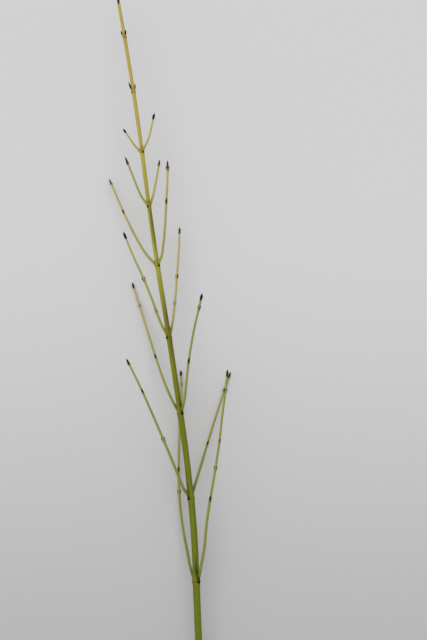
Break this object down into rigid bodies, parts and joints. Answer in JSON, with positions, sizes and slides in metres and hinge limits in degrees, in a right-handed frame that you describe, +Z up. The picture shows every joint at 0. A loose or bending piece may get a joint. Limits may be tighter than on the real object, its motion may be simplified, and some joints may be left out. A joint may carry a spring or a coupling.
{
  "type": "yellow-twig dogwood stem",
  "caption": "Cut bare shoot of a shrub lying on its side, tapered and gently bent, with slender opposite side twigs, swollen nodes and dark pointed buds.",
  "frame": {"origin": "middle of the shoot's footprint, on the surface that it lies on", "axes": "+Y along the shoot from its cut butt to its leading bud, +X to the right of that way, +Z up"},
  "size_m": [0.1484, 1.0086, 0.0831],
  "materials": {
    "stem_bark": "smooth satin yellow-green bark, olive towards the butt, near-black leaf scars",
    "twig_bark": "smooth satin olive to khaki bark with near-black leaf scars",
    "bud_scales": "matt, near-black purple-brown scales with fine lying hairs",
    "cut_wood": "matt cream end grain round a pale pith"
  },
  "bodies": {
    "root": {"main_stem": "stem_bark", "twig_1_left": "twig_bark", "twig_1_right": "twig_bark", "twig_2_left": "twig_bark", "twig_2_right": "twig_bark", "twig_3_left": "twig_bark", "twig_3_right": "twig_bark", "twig_4_left": "twig_bark", "twig_4_right": "twig_bark", "twig_5_left": "twig_bark", "twig_5_right": "twig_bark", "twig_6_left": "twig_bark", "twig_6_right": "twig_bark", "twig_7_left": "twig_bark", "twig_7_right": "twig_bark"}
  },
  "joints": []
}
